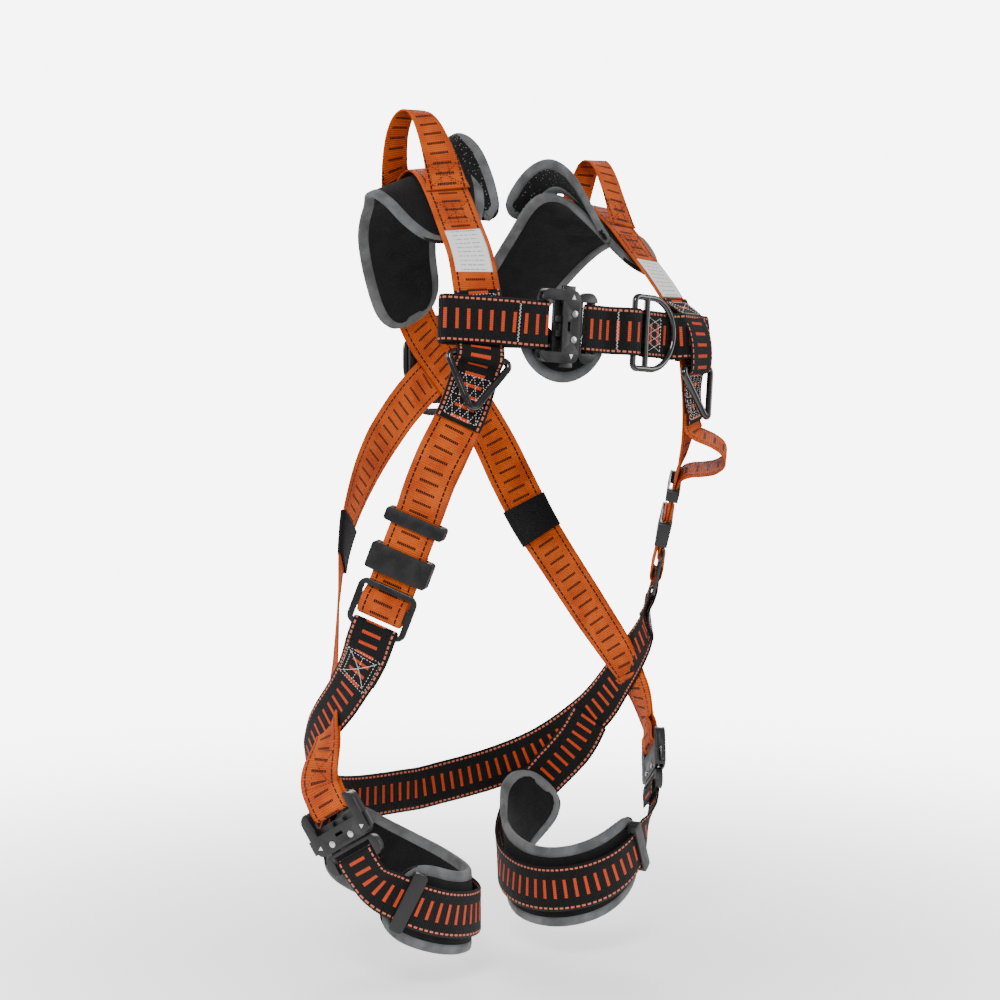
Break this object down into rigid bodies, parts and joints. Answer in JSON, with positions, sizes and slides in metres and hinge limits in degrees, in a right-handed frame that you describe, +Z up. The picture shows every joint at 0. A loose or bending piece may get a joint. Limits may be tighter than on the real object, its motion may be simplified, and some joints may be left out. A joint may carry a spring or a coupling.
{
  "type": "safety harness",
  "caption": "Full-body fall-arrest harness as worn: webbing over shoulders, back and legs, pads, attachment rings, adjusters and quick-connect buckles.",
  "frame": {"origin": "middle of the wearer's waist, on the upright line under the middle of the neck opening", "axes": "+Z up, -Y the way the wearer faces, +X to the wearer's left"},
  "size_m": [0.4231, 0.3091, 0.8126],
  "materials": {
    "orange_webbing": "woven polyester, ribbed, black stitched lines",
    "black_webbing": "woven polyester, ribbed, red and pale stitching",
    "padding": "padded mesh fabric with grey binding",
    "ring_steel": "glossy black coated forged steel",
    "buckle_steel": "matt charcoal coated metal",
    "tab_steel": "satin charcoal coated metal",
    "moulded_plastic": "matt moulded nylon",
    "rivet_steel": "bright steel",
    "spring_steel": "spring wire",
    "label_cloth": "printed woven label"
  },
  "bodies": {
    "harness": {"adjuster_frame_l": "buckle_steel", "adjuster_frame_r": "buckle_steel", "back_sleeve_l": "black_webbing", "back_sleeve_r": "black_webbing", "chest_buckle_base": "buckle_steel", "chest_buckle_cover": "buckle_steel", "chest_buckle_rivets": "rivet_steel", "chest_pad": "padding", "chest_strap_l": "black_webbing", "chest_strap_r": "black_webbing", "collar_pad_l": "padding", "collar_pad_r": "padding", "dorsal_plate": "moulded_plastic", "label_l": "label_cloth", "label_r": "label_cloth", "leg_buckle_l_base": "buckle_steel", "leg_buckle_l_cover": "buckle_steel", "leg_buckle_l_rivets": "rivet_steel", "leg_buckle_r_base": "buckle_steel", "leg_buckle_r_cover": "buckle_steel", "leg_buckle_r_rivets": "rivet_steel", "leg_pad_l": "padding", "leg_pad_r": "padding", "leg_strap_l": "black_webbing", "leg_strap_r": "black_webbing", "ring_patch_l": "black_webbing", "ring_patch_r": "black_webbing", "seat_strap": "black_webbing", "shoulder_loop_l": "orange_webbing", "shoulder_loop_r": "orange_webbing", "shoulder_pad_l": "padding", "shoulder_pad_r": "padding", "shoulder_strap_l": "orange_webbing", "shoulder_strap_r": "orange_webbing", "strap_tail_l": "orange_webbing", "strap_tail_r": "orange_webbing", "tab_springs": "spring_steel"},
    "chest_buckle_tongue": {"chest_buckle_tongue": "buckle_steel"},
    "chest_buckle_tab_a": {"chest_buckle_tab_a": "tab_steel"},
    "chest_buckle_tab_b": {"chest_buckle_tab_b": "tab_steel"},
    "leg_buckle_r_tongue": {"leg_buckle_r_tongue": "buckle_steel"},
    "leg_buckle_r_tab_a": {"leg_buckle_r_tab_a": "tab_steel"},
    "leg_buckle_r_tab_b": {"leg_buckle_r_tab_b": "tab_steel"},
    "leg_buckle_l_tongue": {"leg_buckle_l_tongue": "buckle_steel"},
    "leg_buckle_l_tab_a": {"leg_buckle_l_tab_a": "tab_steel"},
    "leg_buckle_l_tab_b": {"leg_buckle_l_tab_b": "tab_steel"},
    "adjuster_grip_r": {"adjuster_grip_r": "moulded_plastic"},
    "strap_keeper_r": {"strap_keeper_r": "moulded_plastic"},
    "leg_keeper_r": {"leg_keeper_r": "moulded_plastic"},
    "front_ring_r": {"front_ring_r": "ring_steel"},
    "adjuster_grip_l": {"adjuster_grip_l": "moulded_plastic"},
    "strap_keeper_l": {"strap_keeper_l": "moulded_plastic"},
    "leg_keeper_l": {"leg_keeper_l": "moulded_plastic"},
    "front_ring_l": {"front_ring_l": "ring_steel"},
    "dorsal_ring": {"dorsal_ring": "ring_steel"},
    "chest_ring": {"chest_ring": "ring_steel"}
  },
  "joints": [
    {"name": "chest_buckle_tongue_slide", "type": "slide", "parent": "harness", "child": "chest_buckle_tongue", "axis": [0.9979, 0, -0.0655], "range_m": [0, 0.025], "deforming": ["chest_strap_l", "chest_buckle_tab_a", "chest_buckle_tab_b"]},
    {"name": "chest_buckle_tab_a_press", "type": "slide", "parent": "harness", "child": "chest_buckle_tab_a", "axis": [-0.0655, 0, -0.9979], "range_m": [0, 0.0032], "stiffness_N_per_m": 1200, "springref_m": -0.002, "deforming": ["tab_springs"]},
    {"name": "chest_buckle_tab_b_press", "type": "slide", "parent": "harness", "child": "chest_buckle_tab_b", "axis": [0.0655, 0, 0.9979], "range_m": [0, 0.0032], "stiffness_N_per_m": 1200, "springref_m": -0.002, "deforming": ["tab_springs"]},
    {"name": "leg_buckle_r_tongue_slide", "type": "slide", "parent": "harness", "child": "leg_buckle_r_tongue", "axis": [0.3004, -0.4205, -0.8561], "range_m": [0, 0.025], "deforming": ["leg_strap_r", "leg_buckle_r_tab_a", "leg_buckle_r_tab_b"]},
    {"name": "leg_buckle_r_tab_a_press", "type": "slide", "parent": "harness", "child": "leg_buckle_r_tab_a", "axis": [-0.3501, 0.7863, -0.5091], "range_m": [0, 0.0032], "stiffness_N_per_m": 1200, "springref_m": -0.002, "deforming": ["tab_springs"]},
    {"name": "leg_buckle_r_tab_b_press", "type": "slide", "parent": "harness", "child": "leg_buckle_r_tab_b", "axis": [0.3501, -0.7863, 0.5091], "range_m": [0, 0.0032], "stiffness_N_per_m": 1200, "springref_m": -0.002, "deforming": ["tab_springs"]},
    {"name": "leg_buckle_l_tongue_slide", "type": "slide", "parent": "harness", "child": "leg_buckle_l_tongue", "axis": [-0.3004, -0.4205, -0.8561], "range_m": [0, 0.025], "deforming": ["leg_strap_l", "leg_buckle_l_tab_a", "leg_buckle_l_tab_b"]},
    {"name": "leg_buckle_l_tab_a_press", "type": "slide", "parent": "harness", "child": "leg_buckle_l_tab_a", "axis": [-0.3501, -0.7863, 0.5091], "range_m": [0, 0.0032], "stiffness_N_per_m": 1200, "springref_m": -0.002, "deforming": ["tab_springs"]},
    {"name": "leg_buckle_l_tab_b_press", "type": "slide", "parent": "harness", "child": "leg_buckle_l_tab_b", "axis": [0.3501, 0.7863, -0.5091], "range_m": [0, 0.0032], "stiffness_N_per_m": 1200, "springref_m": -0.002, "deforming": ["tab_springs"]},
    {"name": "adjuster_grip_r_slide", "type": "slide", "parent": "harness", "child": "adjuster_grip_r", "axis": [0.2194, -0.3067, 0.9262], "range_m": [-0.006, 0]},
    {"name": "strap_keeper_r_slide", "type": "slide", "parent": "harness", "child": "strap_keeper_r", "axis": [0.2194, -0.3067, 0.9262], "range_m": [-0.006, 0.004]},
    {"name": "leg_keeper_r_slide", "type": "slide", "parent": "harness", "child": "leg_keeper_r", "axis": [0.8097, -0.3881, -0.4402], "range_m": [-0.004, 0.002]},
    {"name": "front_ring_r_swing", "type": "hinge", "parent": "harness", "child": "front_ring_r", "pos_m": [-0.13535, -0.13124, 0.20195], "axis": [-0.8962, 0.3978, 0.1963], "range_deg": [0, 100]},
    {"name": "adjuster_grip_l_slide", "type": "slide", "parent": "harness", "child": "adjuster_grip_l", "axis": [-0.0207, -0.3653, 0.9307], "range_m": [-0.006, 0]},
    {"name": "strap_keeper_l_slide", "type": "slide", "parent": "harness", "child": "strap_keeper_l", "axis": [-0.0207, -0.3653, 0.9307], "range_m": [-0.006, 0.004]},
    {"name": "leg_keeper_l_slide", "type": "slide", "parent": "harness", "child": "leg_keeper_l", "axis": [-0.7457, -0.3844, -0.5442], "range_m": [-0.004, 0.002]},
    {"name": "front_ring_l_swing", "type": "hinge", "parent": "harness", "child": "front_ring_l", "pos_m": [0.12208, -0.13122, 0.18965], "axis": [-0.9147, -0.4042, -0.0063], "range_deg": [0, 100]},
    {"name": "dorsal_ring_swing", "type": "hinge", "parent": "harness", "child": "dorsal_ring", "pos_m": [-0.00273, 0.1425, 0.216], "axis": [1, 0, 0], "range_deg": [0, 150]},
    {"name": "chest_ring_tilt", "type": "hinge", "parent": "harness", "child": "chest_ring", "pos_m": [0.03492, -0.15237, 0.22378], "axis": [-0.064, -0.0136, -0.9979], "range_deg": [0, 45]}
  ]
}
